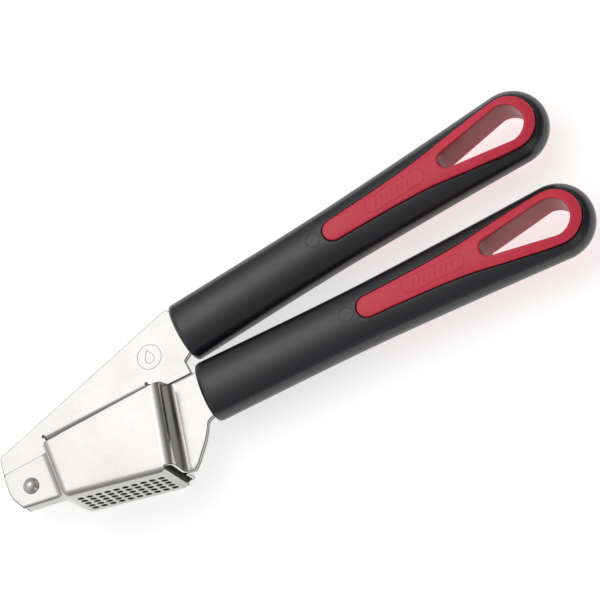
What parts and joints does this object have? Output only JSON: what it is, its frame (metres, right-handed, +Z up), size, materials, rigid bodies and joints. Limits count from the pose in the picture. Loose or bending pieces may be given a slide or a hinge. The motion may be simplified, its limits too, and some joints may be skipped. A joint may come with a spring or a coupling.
{
  "type": "garlic press",
  "caption": "Hand garlic press: folded steel hopper with a perforated floor, riveted pressing arm with plunger, and black handles with red inlaid hanging loops.",
  "frame": {"origin": "middle of the bounding box's bottom, with the press lying on its side and closed", "axes": "+X along the lower handle, from the pivot to the hanging loop; +Y from the lower handle towards the upper one; +Z up, the hinge axis and the thickness of the press"},
  "size_m": [0.2074, 0.0702, 0.023],
  "materials": {
    "hopper_lever": "satin stainless sheet",
    "pivot_rivet": "turned and polished stainless steel",
    "lower_core": "satin red plastic",
    "lower_grip": "fine-grained matte black plastic",
    "press_arm": "satin stainless sheet",
    "plunger": "satin stainless steel",
    "upper_core": "satin red plastic",
    "upper_grip": "fine-grained matte black plastic"
  },
  "bodies": {
    "lower_lever": {"hopper_lever": "hopper_lever", "pivot_rivet": "pivot_rivet", "lower_core": "lower_core", "lower_grip": "lower_grip"},
    "arm": {"press_arm": "press_arm", "plunger": "plunger", "upper_core": "upper_core", "upper_grip": "upper_grip"}
  },
  "joints": [
    {"name": "arm_pivot", "type": "hinge", "parent": "lower_lever", "child": "arm", "pos_m": [-0.09574, -0.0159, 0.0115], "axis": [0, 0, 1], "range_deg": [0, 78]}
  ]
}
